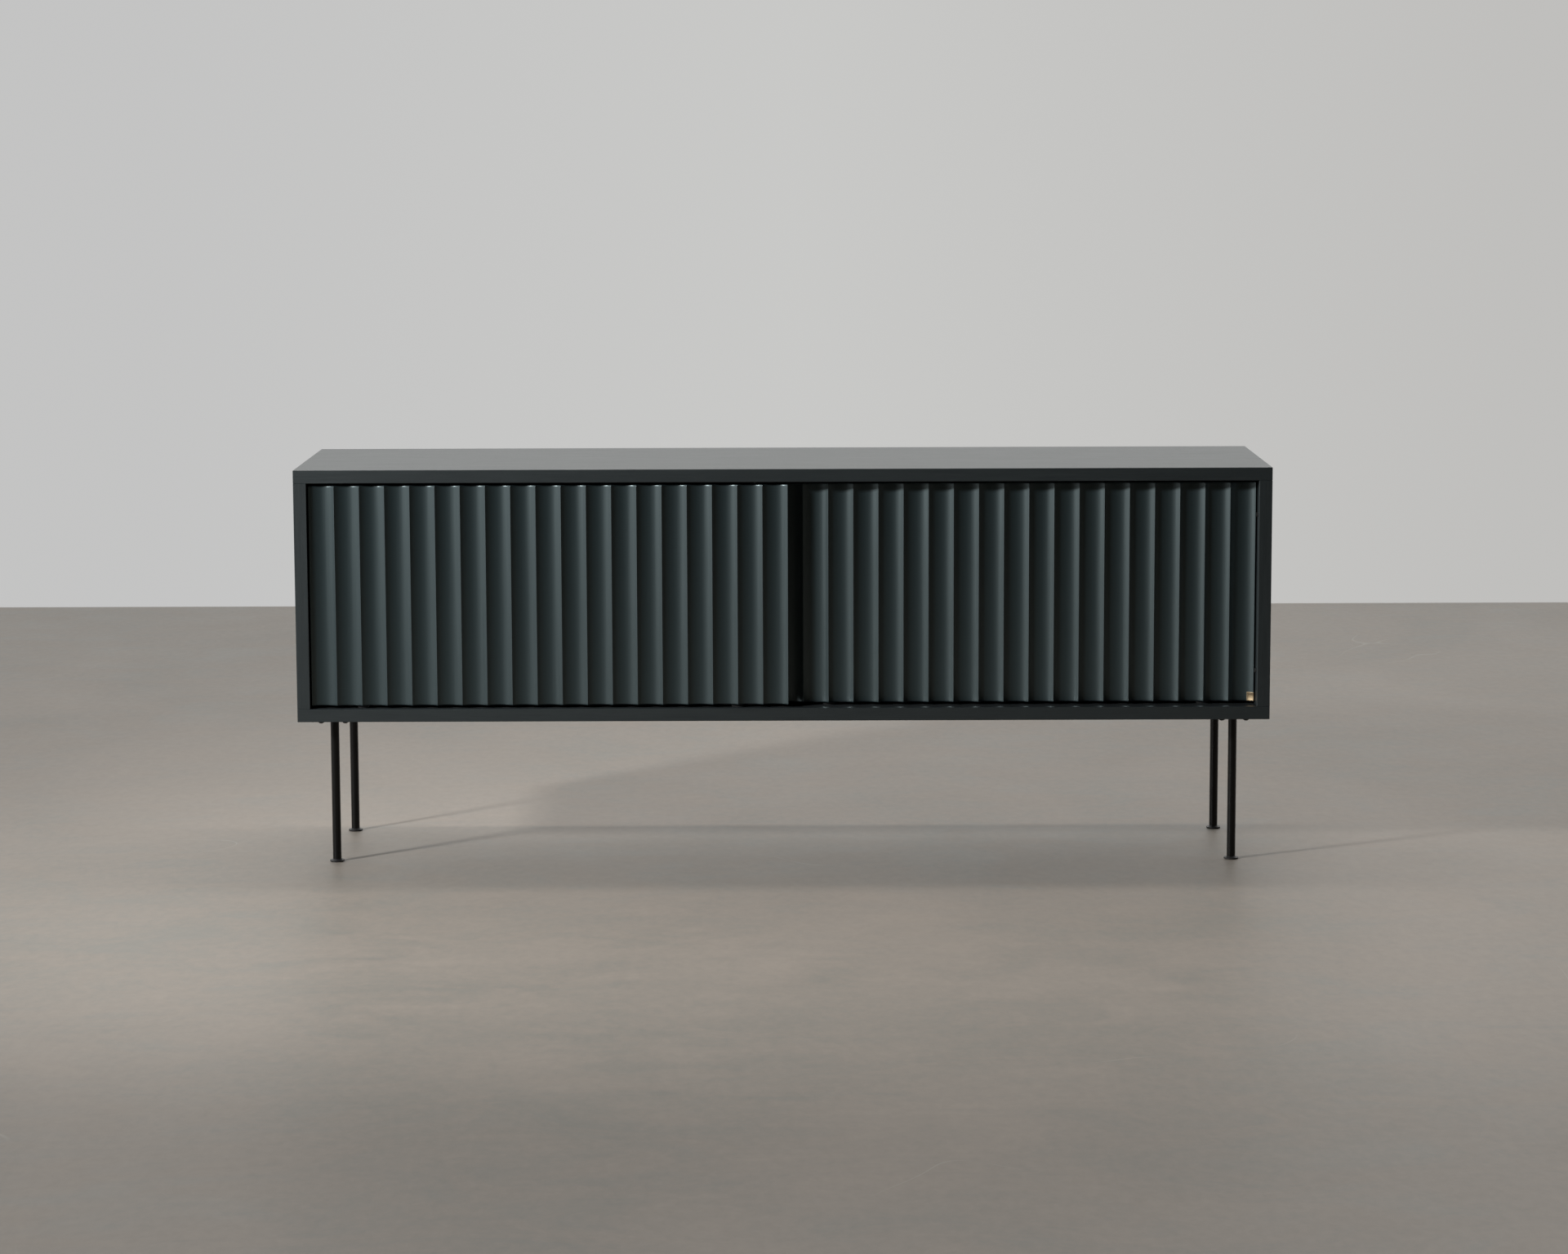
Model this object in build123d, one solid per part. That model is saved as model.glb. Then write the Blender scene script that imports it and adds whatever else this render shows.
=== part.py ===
from build123d import *
import math
import os

# Low sideboard: a stained board carcass on four slim steel legs, with two fluted doors that slide
# past each other. The left door runs in the front track, the right door in the rear track.
# Millimetres. X runs along the front, Y towards the back, Z up.
# The origin is on the floor, at the centre of the carcass's footprint.

# ---- Overall sizes
width = 1800.0
depth = 450.0
leg_height = 275.0  # floor to the underside of the carcass
body_height = 468.0

# ---- Carcass boards
board = 24.0
divider_thickness = 18.0
edge_break = 0.6  # small chamfer on every board edge
back_thickness = 8.0
back_inset = 2.0  # how far the back panels lie inside the back edges
back_rebate = 10.0  # how far the back panels reach into each board
back_fit = 0.5  # clearance round each back panel

# ---- Doors
door_thickness = 20.0
flute_depth = 9.0
flute_pitch_aim = 46.4
edge_land = 1.0  # flat strip outside the first and last flute
door_edge_chamfer = 1.0  # along the upper and lower edges of the fluted face
door_recess = 5.0  # front edge of the carcass to the front door's ridges
door_spacing = 3.5  # air between the two doors
door_overlap = 20.0
door_side_gap = 2.5
door_gap = 5.0  # above and below each door

# ---- Tracks
track_inner_width = 6.0
track_wall = 1.2
track_floor = 1.5
lower_track_depth = 4.0  # inside the channel
upper_track_depth = 7.0
track_end_gap = 0.5
groove_fit = 0.05  # each side of a channel in its groove

# ---- Rollers
roller_diameter = 26.0
roller_width = 4.0
roller_play = 0.2  # roller above the track floor
roller_side_play = 0.3
roller_edge = 0.5
axle_diameter = 3.0
axle_fit = 0.05  # radial, roller on axle
axle_seat_fit = 0.01  # radial, axle in the housing
roller_inset = 95.0  # door end to roller centre
housing_cheek = 1.7
housing_length = 38.0
housing_cap = 2.0  # solid above the roller
roller_headroom = 1.0
flange_length = 62.0
flange_width = 9.0
flange_thickness = 2.0
mortise_fit = 0.05

# ---- Sprung top guides
guide_inset = 60.0  # door end to guide centre
guide_outer_diameter = 9.0
guide_bore = 7.0
guide_length = 34.0
guide_wall = 2.5  # top and bottom walls of the guide housing
guide_pin_diameter = 5.0
guide_pin_fit = 0.05
guide_reach = 10.0  # pin's tip above the door
guide_collar_height = 2.0
guide_collar_play = 0.1
guide_spigot_diameter = 4.0
guide_spigot_length = 6.0
spring_wire = 0.7
spring_diameter = 5.6  # centre line of the wire
spring_turns = 8
spring_play = 0.05

# ---- Shelves
shelf_thickness = 18.0
shelf_side_gap = 1.0
shelf_setback = 4.0  # shelf front behind the divider's front
shelf_back_gap = 2.0
divider_door_gap = 6.0  # rear door to the divider's front
support_diameter = 5.0
support_fit = 0.05
support_stem = 7.5
support_hole_depth = 8.0
support_paddle_length = 9.0
support_paddle_width = 10.0
support_paddle_height = 4.0
support_inset = 45.0  # shelf's front and back edges to the supports
support_row_pitch = 32.0
support_rows = 5

# ---- Dowels
dowel_diameter = 8.0
dowel_length = 32.0
dowel_in_board = 12.0
dowel_fit = 0.05
dowel_end_gap = 0.5
dowel_chamfer = 0.8
dowel_inset = 50.0

# ---- Screws
wood_screw_diameter = 3.5
wood_screw_head = 7.0
wood_screw_length = 18.0
wood_screw_spacing = 240.0
housing_screw_diameter = 3.0
housing_screw_head = 5.6
housing_screw_length = 16.0
screw_fit = 0.05
screw_tip_gap = 0.5
drive_fraction = 0.42  # hexagonal drive recess across corners, as a share of the head

# ---- Legs
leg_inset_x = 61.0  # carcass end to leg centre
leg_inset_y = 68.0
leg_diameter = 16.0
leg_wall = 1.5
plate_size = 60.0
plate_thickness = 4.0
plate_corner = 6.0
leg_screw_offset = 22.5
leg_screw_diameter = 6.0
leg_screw_depth = 14.0  # in the bottom board
leg_screw_head = 15.0
leg_screw_head_height = 5.5
leg_screw_fit = 0.2  # radial, in the plate
leg_screw_drive = 4.5
leg_screw_drive_depth = 2.5
foot_diameter = 27.0
foot_height = 3.0
foot_chamfer = 1.0
foot_collar_height = 2.0  # cone from the disc up to the tube
foot_spigot_length = 14.0
foot_fit = 0.05

# ---- Bumpers
bumper_diameter = 9.0
bumper_thickness = 2.2
bumper_inset = 60.0  # door's upper and lower edges to the bumpers

# ---- Brass tab
tab_width = 13.0
tab_height = 16.0
tab_thickness = 0.6
tab_return = 9.0  # along the door's edge

# ---- Worked out from the sizes above
front_y = -depth / 2
back_y = depth / 2
end_x = width / 2
inner_x = end_x - board
carcass_z = leg_height
floor_z = carcass_z + board
top_z = carcass_z + body_height
ceiling_z = top_z - board
back_face_y = back_y - back_inset - back_thickness
back_reach = back_rebate - back_fit

door_width = (2 * inner_x + door_overlap) / 2 - door_side_gap
door_height = ceiling_z - floor_z - 2 * door_gap
door_z = floor_z + door_gap
door_top_z = door_z + door_height
flute_count = max(1, round((door_width - 2 * edge_land) / flute_pitch_aim))
flute_pitch = (door_width - 2 * edge_land) / flute_count
flute_radius = flute_pitch ** 2 / (8 * flute_depth) + flute_depth / 2
door_core = door_thickness - flute_depth
running_line = flute_depth + door_core / 2  # ridges to the middle of the door's solid core

front_door_y = front_y + door_recess
rear_door_y = front_door_y + door_thickness + door_spacing
doors = {
    "left": (-inner_x + door_side_gap, front_door_y),
    "right": (inner_x - door_side_gap - door_width, rear_door_y),
}
divider_y = rear_door_y + door_thickness + divider_door_gap

track_outer_width = track_inner_width + 2 * track_wall
lower_track_height = lower_track_depth + track_floor
upper_track_height = upper_track_depth + track_floor
roller_z = floor_z - lower_track_depth + roller_play + roller_diameter / 2
housing_width = roller_width + 2 * roller_side_play + 2 * housing_cheek
housing_top_z = roller_z + roller_diameter / 2 + roller_headroom + housing_cap
guide_z = door_top_z - guide_length
guide_pin_hole = guide_pin_diameter + 2 * guide_pin_fit
leg_x = end_x - leg_inset_x
leg_y = depth / 2 - leg_inset_y
shelf_z = (floor_z + ceiling_z - shelf_thickness) / 2


def block(x0, x1, y0, y1, z0, z1):
    """A box between two corners."""
    return Pos((x0 + x1) / 2, (y0 + y1) / 2, (z0 + z1) / 2) * Box(x1 - x0, y1 - y0, z1 - z0)


def post(x, y, z0, z1, diameter):
    """An upright cylinder."""
    return Pos(x, y, (z0 + z1) / 2) * Cylinder(diameter / 2, z1 - z0)


def ribbon(x0, x1, y, z0, z1, thickness):
    """A box that is centred on y."""
    return block(x0, x1, y - thickness / 2, y + thickness / 2, z0, z1)


def spread(first, last, spacing):
    """Evenly spaced places from first to last, about one spacing apart."""
    steps = max(1, round((last - first) / spacing))
    return [first + (last - first) * i / steps for i in range(steps + 1)]


def board_block(x0, x1, y0, y1, z0, z1):
    """A board with all its edges slightly broken."""
    solid = block(x0, x1, y0, y1, z0, z1)
    return chamfer(solid.edges(), edge_break)


def group(solids):
    """Separate solids that share one node."""
    return Compound(children=list(solids))


# ---- Fasteners

def hexagon_recess(across, deep):
    return Pos(0, 0, -deep) * extrude(RegularPolygon(across / 2, 6), deep)


def countersunk_screw(diameter, head, length):
    """Head up, its flat top at z 0."""
    head_height = (head - diameter) / 2
    shank = Pos(0, 0, -(length + head_height) / 2) * Cylinder(diameter / 2, length - head_height)
    cone = Pos(0, 0, -head_height / 2) * Cone(diameter / 2, head / 2, head_height)
    return shank + cone - hexagon_recess(head * drive_fraction, head_height)


def countersunk_hole(diameter, head, length):
    """The hole that a countersunk screw sits in."""
    head_height = (head - diameter) / 2
    grow = 2 * screw_fit
    reach = length + screw_tip_gap
    shank = Pos(0, 0, -reach / 2) * Cylinder((diameter + grow) / 2, reach)
    cone = Pos(0, 0, -head_height / 2) * Cone((diameter + grow) / 2, (head + grow) / 2, head_height)
    return shank + cone


def dome_screw():
    """Dome head down, its flat seat at z 0, the shank going up through the plate."""
    radius = leg_screw_head / 2
    dome = (radius ** 2 + leg_screw_head_height ** 2) / (2 * leg_screw_head_height)
    ball = Pos(0, 0, dome - leg_screw_head_height) * Sphere(dome)
    head = ball & Pos(0, 0, -dome) * Box(2 * leg_screw_head, 2 * leg_screw_head, 2 * dome)
    shank_length = plate_thickness + leg_screw_depth
    shank = Pos(0, 0, shank_length / 2) * Cylinder(leg_screw_diameter / 2, shank_length)
    drive = Pos(0, 0, -leg_screw_head_height) * extrude(
        RegularPolygon(leg_screw_drive / 2, 6), leg_screw_drive_depth)
    return head + shank - drive


# ---- Dowels

def dowel_ends():
    """Dowel centres: sides and divider, as (x, y)."""
    side = [(s * (inner_x + board / 2), y) for s in (-1, 1)
            for y in (front_y + dowel_inset, 0, back_y - dowel_inset)]
    middle = [(0, y) for y in (divider_y + dowel_inset, back_face_y - dowel_inset)]
    return side + middle


def dowel_span(upper):
    """Lowest and highest z of the dowels in the upper or lower joints."""
    if upper:
        return ceiling_z + dowel_in_board - dowel_length, ceiling_z + dowel_in_board
    return floor_z - dowel_in_board, floor_z - dowel_in_board + dowel_length


def dowel_holes(upper):
    z0, z1 = dowel_span(upper)
    return [post(x, y, z0 - dowel_end_gap, z1 + dowel_end_gap, dowel_diameter + 2 * dowel_fit)
            for x, y in dowel_ends()]


def dowels(upper):
    z0, z1 = dowel_span(upper)
    pegs = [post(x, y, z0, z1, dowel_diameter) for x, y in dowel_ends()]
    return group(chamfer(peg.edges().filter_by(GeomType.CIRCLE), dowel_chamfer) for peg in pegs)


# ---- Back panels and their screws

def back_screw_places():
    """Screw centres in the back panels, as (x, z)."""
    outer_x = inner_x + back_rebate / 2
    middle_x = (divider_thickness / 2 + back_fit) / 2
    upper_z = ceiling_z + back_rebate / 2
    lower_z = floor_z - back_rebate / 2
    row = spread(wood_screw_head * 2, outer_x - wood_screw_head, wood_screw_spacing)[:-1]
    row = [x + wood_screw_head * 2 for x in row]
    column = spread(lower_z, upper_z, wood_screw_spacing)[1:-1]
    column = column or [(lower_z + upper_z) / 2]
    places = [(s * x, z) for s in (-1, 1) for x in row for z in (lower_z, upper_z)]
    return places + [(s * x, z) for s in (-1, 1) for x in (middle_x, outer_x) for z in column]


def facing_back(solid, x, z):
    """A screw or hole with its head flush with the back panels' rear face."""
    return Pos(x, back_face_y + back_thickness, z) * Rot(-90, 0, 0) * solid


def back_screw_holes():
    hole = countersunk_hole(wood_screw_diameter, wood_screw_head, wood_screw_length)
    return [facing_back(hole, x, z) for x, z in back_screw_places()]


def back_panel(side):
    sign = -1 if side == "left" else 1
    near, far = sign * back_fit, sign * (inner_x + back_reach)
    solid = block(min(near, far), max(near, far), back_face_y, back_face_y + back_thickness,
                  floor_z - back_reach, ceiling_z + back_reach)
    holes = [facing_back(countersunk_hole(wood_screw_diameter, wood_screw_head, wood_screw_length), x, z)
             for x, z in back_screw_places() if x * sign > 0]
    return solid - holes


def back_rebate_block():
    """The space that the back panels are let into."""
    return block(-inner_x - back_rebate, inner_x + back_rebate, back_face_y, back_y,
                 floor_z - back_rebate, ceiling_z + back_rebate)


# ---- Carcass

def track_lines():
    """The y of the front and rear tracks, under each door's solid core."""
    return {"front": front_door_y + running_line, "rear": rear_door_y + running_line}


def top_board():
    solid = board_block(-end_x, end_x, front_y, back_y, ceiling_z, top_z)
    grooves = [ribbon(-inner_x, inner_x, y, ceiling_z, ceiling_z + upper_track_height,
                      track_outer_width + 2 * groove_fit) for y in track_lines().values()]
    return solid - grooves - back_rebate_block() - dowel_holes(True) - back_screw_holes()


def bottom_board():
    solid = board_block(-end_x, end_x, front_y, back_y, carcass_z, floor_z)
    grooves = [ribbon(-inner_x, inner_x, y, floor_z - lower_track_height, floor_z,
                      track_outer_width + 2 * groove_fit) for y in track_lines().values()]
    pilots = [post(x, y, carcass_z, carcass_z + leg_screw_depth + screw_tip_gap,
                   leg_screw_diameter + 2 * screw_fit) for x, y in leg_screw_places()]
    return solid - grooves - back_rebate_block() - dowel_holes(False) - back_screw_holes() - pilots


def support_heights():
    """Heights of the row of support holes; the middle one holds the shelf."""
    middle = shelf_z - support_paddle_height / 2
    return [middle + support_row_pitch * (i - support_rows // 2) for i in range(support_rows)]


def shelf_y():
    """Front and back of the shelves."""
    return divider_y + shelf_setback, back_face_y - shelf_back_gap


def support_y():
    front, back = shelf_y()
    return front + support_inset, back - support_inset


def support_holes(face_x, direction):
    """Rows of holes in the face at face_x, drilled along direction."""
    far_x = face_x + direction * support_hole_depth
    hole = Cylinder(support_diameter / 2 + support_fit, support_hole_depth)
    return [Pos((face_x + far_x) / 2, y, z) * Rot(0, 90, 0) * hole
            for y in support_y() for z in support_heights()]


def side_panel(side):
    sign = -1 if side == "left" else 1
    x0, x1 = sorted((sign * inner_x, sign * end_x))
    solid = board_block(x0, x1, front_y, back_y, floor_z, ceiling_z)
    solid -= back_rebate_block()
    solid -= dowel_holes(True) + dowel_holes(False)
    return solid - support_holes(sign * inner_x, sign) - back_screw_holes()


def centre_divider():
    half = divider_thickness / 2
    solid = board_block(-half, half, divider_y, back_face_y, floor_z, ceiling_z)
    solid -= dowel_holes(True) + dowel_holes(False)
    return solid - support_holes(half, -1) - support_holes(-half, 1) - back_screw_holes()


def shelf(side):
    sign = -1 if side == "left" else 1
    near = sign * (divider_thickness / 2 + shelf_side_gap)
    far = sign * (inner_x - shelf_side_gap)
    front, back = shelf_y()
    return board_block(min(near, far), max(near, far), front, back, shelf_z, shelf_z + shelf_thickness)


def shelf_support(face_x, direction, y):
    """A stem in its hole and a paddle under the shelf, pointing along direction."""
    z = shelf_z - support_paddle_height / 2
    stem = Pos(face_x - direction * support_stem / 2, y, z) * Rot(0, 90, 0) * Cylinder(
        support_diameter / 2, support_stem)
    x0, x1 = sorted((face_x, face_x + direction * support_paddle_length))
    paddle = block(x0, x1, y - support_paddle_width / 2, y + support_paddle_width / 2,
                   shelf_z - support_paddle_height, shelf_z)
    return stem + paddle


def shelf_supports(side):
    sign = -1 if side == "left" else 1
    faces = ((sign * divider_thickness / 2, sign), (sign * inner_x, -sign))
    return group(shelf_support(x, d, y) for x, d in faces for y in support_y())


# ---- Tracks

def channel(y, z0, height, opens_up):
    """A U-shaped channel along X, open upwards or downwards."""
    half = inner_x - track_end_gap
    outer = ribbon(-half, half, y, z0, z0 + height, track_outer_width)
    low, high = (z0 + track_floor, z0 + height) if opens_up else (z0, z0 + height - track_floor)
    return outer - ribbon(-half, half, y, low, high, track_inner_width)


# ---- Bumpers

def bumpers(side):
    """Round pads where both doors meet this side, near their upper and lower ends."""
    sign = -1 if side == "left" else 1
    x = sign * (inner_x - bumper_thickness / 2)
    pad = Rot(0, 90, 0) * Cylinder(bumper_diameter / 2, bumper_thickness)
    heights = (door_z + bumper_inset, door_top_z - bumper_inset)
    return group(Pos(x, y, z) * pad for y in track_lines().values() for z in heights)


# ---- Doors

def door_outline(x0, y0):
    """Flat back, fluted front with its ridges at y0."""
    x1 = x0 + door_width
    y1 = y0 + door_thickness
    first = x0 + edge_land
    lines = [Line((x0, y0), (x0, y1)), Line((x0, y1), (x1, y1)), Line((x1, y1), (x1, y0)),
             Line((x1, y0), (x1 - edge_land, y0)), Line((first, y0), (x0, y0))]
    for i in range(flute_count):
        ridge = first + i * flute_pitch
        lines.append(ThreePointArc((ridge, y0), (ridge + flute_pitch / 2, y0 + flute_depth),
                                   (ridge + flute_pitch, y0)))
    return make_face(lines)


def roller_x(door_x):
    return door_x + roller_inset, door_x + door_width - roller_inset


def guide_x(door_x):
    return door_x + guide_inset, door_x + door_width - guide_inset


def housing_body(x, y, grow):
    """The outer shape of a roller housing, or its mortise when grown by a clearance."""
    half = housing_length / 2 + grow
    body = ribbon(x - half, x + half, y, door_z, housing_top_z + grow, housing_width + 2 * grow)
    flange_half = flange_length / 2 + grow
    return body + ribbon(x - flange_half, x + flange_half, y, door_z, door_z + flange_thickness,
                         flange_width + 2 * grow)


def housing_screw_places(x):
    offset = (housing_length + flange_length) / 4
    return x - offset, x + offset


def housing_screw_hole(x, y):
    hole = countersunk_hole(housing_screw_diameter, housing_screw_head, housing_screw_length)
    return Pos(x, y, door_z) * Rot(180, 0, 0) * hole


def door_panel(side):
    x0, y0 = doors[side]
    solid = Pos(0, 0, door_z) * extrude(door_outline(x0, y0), door_height)
    fluted = [edge for edge in solid.edges() if edge.geom_type == GeomType.CIRCLE]
    solid = chamfer(fluted, door_edge_chamfer)
    y = y0 + running_line
    for x in roller_x(x0):
        solid -= housing_body(x, y, mortise_fit)
        solid -= [housing_screw_hole(sx, y) for sx in housing_screw_places(x)]
    for x in guide_x(x0):
        solid -= post(x, y, guide_z, door_top_z, guide_outer_diameter + 2 * mortise_fit)
    return solid


def roller_housing(x, y):
    solid = housing_body(x, y, 0)
    half = roller_diameter / 2 + roller_headroom
    cavity_width = roller_width + 2 * roller_side_play
    solid -= ribbon(x - half, x + half, y, door_z, housing_top_z - housing_cap, cavity_width)
    solid -= Pos(x, y, roller_z) * Rot(90, 0, 0) * Cylinder(
        axle_diameter / 2 + axle_seat_fit, housing_width)
    return solid - [housing_screw_hole(sx, y) for sx in housing_screw_places(x)]


def roller(x, y):
    wheel = Cylinder(roller_diameter / 2, roller_width) - Cylinder(axle_diameter / 2 + axle_fit, roller_width)
    rims = wheel.edges().filter_by(GeomType.CIRCLE).filter_by(lambda e: e.radius > axle_diameter)
    return Pos(x, y, roller_z) * Rot(90, 0, 0) * chamfer(rims, roller_edge)


def roller_axles(side):
    x0, y0 = doors[side]
    pin = Rot(90, 0, 0) * Cylinder(axle_diameter / 2, housing_width)
    return group(Pos(x, y0 + running_line, roller_z) * pin for x in roller_x(x0))


def housing_screws(side):
    x0, y0 = doors[side]
    screw = countersunk_screw(housing_screw_diameter, housing_screw_head, housing_screw_length)
    return group(Pos(sx, y0 + running_line, door_z) * Rot(180, 0, 0) * screw
                 for x in roller_x(x0) for sx in housing_screw_places(x))


def guide_housing(x, y):
    solid = post(x, y, guide_z, door_top_z, guide_outer_diameter)
    solid -= post(x, y, guide_z + guide_wall, door_top_z - guide_wall, guide_bore)
    return solid - post(x, y, door_top_z - guide_wall, door_top_z, guide_pin_hole)


def collar_z():
    """The collar's lower and upper faces, at rest against the housing's upper wall."""
    upper = door_top_z - guide_wall - guide_collar_play
    return upper - guide_collar_height, upper


def guide_pin(x, y):
    low, high = collar_z()
    stem = post(x, y, high, door_top_z + guide_reach, guide_pin_diameter)
    stem = chamfer(stem.edges().filter_by(GeomType.CIRCLE).sort_by(Axis.Z)[-1], edge_break)
    collar = post(x, y, low, high, guide_bore - 2 * guide_collar_play)
    return stem + collar + post(x, y, low - guide_spigot_length, low, guide_spigot_diameter)


def guide_spring(x, y):
    """A coil between the housing's lower wall and the pin's collar."""
    z0 = guide_z + guide_wall + spring_wire / 2 + spring_play
    z1 = collar_z()[0] - spring_wire / 2 - spring_play
    path = Helix((z1 - z0) / spring_turns, z1 - z0, spring_diameter / 2)
    section = Plane(path @ 0, z_dir=path % 0) * Circle(spring_wire / 2)
    return Pos(x, y, z0) * sweep(section, path)


def brass_tab():
    """A thin strip that follows the last flute and folds round the right door's edge."""
    x0, y0 = doors["right"]
    edge_x = x0 + door_width
    t = tab_thickness
    land_x = edge_x - edge_land
    centre = (land_x - flute_pitch / 2, y0 + flute_depth - flute_radius)
    start_x = edge_x + t - tab_width

    def on_flute(x, radius):
        return x, centre[1] + math.sqrt(radius ** 2 - (x - centre[0]) ** 2)

    inner_radius = flute_radius - t
    middle_x = (start_x + land_x) / 2
    corner = (centre[0] + math.sqrt(inner_radius ** 2 - (y0 - t - centre[1]) ** 2), y0 - t)
    outer_arc = ThreePointArc(on_flute(start_x, inner_radius),
                              on_flute((start_x + corner[0]) / 2, inner_radius), corner)
    inner_arc = ThreePointArc(on_flute(start_x, flute_radius), on_flute(middle_x, flute_radius),
                              (land_x, y0))
    fold = Polyline(corner, (edge_x + t, y0 - t), (edge_x + t, y0 + tab_return),
                    (edge_x, y0 + tab_return), (edge_x, y0), (land_x, y0))
    start = Line(on_flute(start_x, flute_radius), on_flute(start_x, inner_radius))
    profile = make_face([start, outer_arc, *fold.edges(), inner_arc])
    return Pos(0, 0, door_z + door_edge_chamfer) * extrude(profile, tab_height)


# ---- Legs

corners = {"front_left": (-1, -1), "front_right": (1, -1), "back_left": (-1, 1), "back_right": (1, 1)}


def leg_screw_offsets():
    return [(sx * leg_screw_offset, sy * leg_screw_offset) for sx in (-1, 1) for sy in (-1, 1)]


def leg_screw_places():
    return [(sx * leg_x + dx, sy * leg_y + dy) for sx, sy in corners.values()
            for dx, dy in leg_screw_offsets()]


def leg_plate(x, y):
    plate = block(x - plate_size / 2, x + plate_size / 2, y - plate_size / 2, y + plate_size / 2,
                  carcass_z - plate_thickness, carcass_z)
    plate = fillet(plate.edges().filter_by(Axis.Z), plate_corner)
    hole = leg_screw_diameter + 2 * leg_screw_fit
    return plate - [post(x + dx, y + dy, carcass_z - plate_thickness, carcass_z, hole)
                    for dx, dy in leg_screw_offsets()]


def leg_tube(x, y):
    z0 = foot_height + foot_collar_height
    z1 = carcass_z - plate_thickness
    return post(x, y, z0, z1, leg_diameter) - post(x, y, z0, z1, leg_diameter - 2 * leg_wall)


def foot(x, y):
    disc = post(x, y, 0, foot_height, foot_diameter)
    disc = chamfer(disc.edges().filter_by(GeomType.CIRCLE).sort_by(Axis.Z)[0], foot_chamfer)
    cone = Pos(x, y, foot_height + foot_collar_height / 2) * Cone(
        leg_diameter / 2 + foot_collar_height, leg_diameter / 2, foot_collar_height)
    top = foot_height + foot_collar_height
    spigot = post(x, y, top, top + foot_spigot_length, leg_diameter - 2 * leg_wall - 2 * foot_fit)
    return disc + cone + spigot


def leg_screws():
    return group(Pos(x, y, carcass_z - plate_thickness) * dome_screw() for x, y in leg_screw_places())


# ---- All the pieces

def carcass_parts():
    parts = {"top_board": top_board(), "bottom_board": bottom_board(), "centre_divider": centre_divider(),
             "dowels_upper": dowels(True), "dowels_lower": dowels(False)}
    for side in ("left", "right"):
        parts[f"side_panel_{side}"] = side_panel(side)
        parts[f"back_panel_{side}"] = back_panel(side)
        parts[f"shelf_{side}"] = shelf(side)
        parts[f"shelf_supports_{side}"] = shelf_supports(side)
        parts[f"bumpers_{side}"] = bumpers(side)
    screw = countersunk_screw(wood_screw_diameter, wood_screw_head, wood_screw_length)
    parts["back_panel_screws"] = group(facing_back(screw, x, z) for x, z in back_screw_places())
    for row, y in track_lines().items():
        parts[f"lower_track_{row}"] = channel(y, floor_z - lower_track_height, lower_track_height, True)
        parts[f"upper_track_{row}"] = channel(y, ceiling_z, upper_track_height, False)
    return parts


def door_parts(side):
    x0, y0 = doors[side]
    y = y0 + running_line
    parts = {f"{side}_door": door_panel(side), f"{side}_roller_axles": roller_axles(side),
             f"{side}_housing_screws": housing_screws(side)}
    ends = ("a", "b")
    for end, x in zip(ends, roller_x(x0)):
        parts[f"{side}_roller_housing_{end}"] = roller_housing(x, y)
        parts[f"{side}_roller_{end}"] = roller(x, y)
    for end, x in zip(ends, guide_x(x0)):
        parts[f"{side}_guide_housing_{end}"] = guide_housing(x, y)
        parts[f"{side}_guide_pin_{end}"] = guide_pin(x, y)
        parts[f"{side}_guide_spring_{end}"] = guide_spring(x, y)
    return parts


def leg_parts():
    parts = {"leg_screws": leg_screws()}
    for corner, (sx, sy) in corners.items():
        x, y = sx * leg_x, sy * leg_y
        parts[f"leg_plate_{corner}"] = leg_plate(x, y)
        parts[f"leg_tube_{corner}"] = leg_tube(x, y)
        parts[f"foot_{corner}"] = foot(x, y)
    return parts


os.makedirs("parts", exist_ok=True)
nodes = {**carcass_parts(), **door_parts("left"), **door_parts("right"), **leg_parts(),
         "brass_tab": brass_tab()}
for name, shape in nodes.items():
    export_step(shape, f"parts/{name}.step")
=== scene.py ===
import math

import bmesh
import bpy
from mathutils import Matrix, Vector


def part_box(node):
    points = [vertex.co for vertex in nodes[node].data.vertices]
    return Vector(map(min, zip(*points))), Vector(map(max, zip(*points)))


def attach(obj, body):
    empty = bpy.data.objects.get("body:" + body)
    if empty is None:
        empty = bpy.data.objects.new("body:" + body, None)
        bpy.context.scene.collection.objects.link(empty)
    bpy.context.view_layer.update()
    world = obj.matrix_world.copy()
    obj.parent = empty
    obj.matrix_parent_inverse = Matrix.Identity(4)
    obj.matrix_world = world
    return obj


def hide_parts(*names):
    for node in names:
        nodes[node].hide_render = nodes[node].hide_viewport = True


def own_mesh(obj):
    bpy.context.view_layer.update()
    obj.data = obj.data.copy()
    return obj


# A low sideboard with two fluted sliding doors, in a plain studio. Metres. X runs along the front,
# Y towards the back, Z up. The origin is on the floor, under the middle of the carcass.

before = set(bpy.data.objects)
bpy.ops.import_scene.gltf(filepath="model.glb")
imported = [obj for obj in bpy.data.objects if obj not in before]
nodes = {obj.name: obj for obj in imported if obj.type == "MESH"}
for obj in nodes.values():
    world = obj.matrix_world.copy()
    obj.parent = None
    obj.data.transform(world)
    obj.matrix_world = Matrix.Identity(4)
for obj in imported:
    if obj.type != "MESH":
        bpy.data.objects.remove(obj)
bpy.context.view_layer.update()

MM = 0.001
SHARP_ANGLE = 38.0  # degrees of turn above which an edge is shaded sharp
SMALL_SHARP_ANGLE = 50.0  # the same, for the tab and the welds
SIDES = ("left", "right")
ENDS = ("a", "b")
CORNERS = ("front_left", "front_right", "back_left", "back_right")

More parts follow.
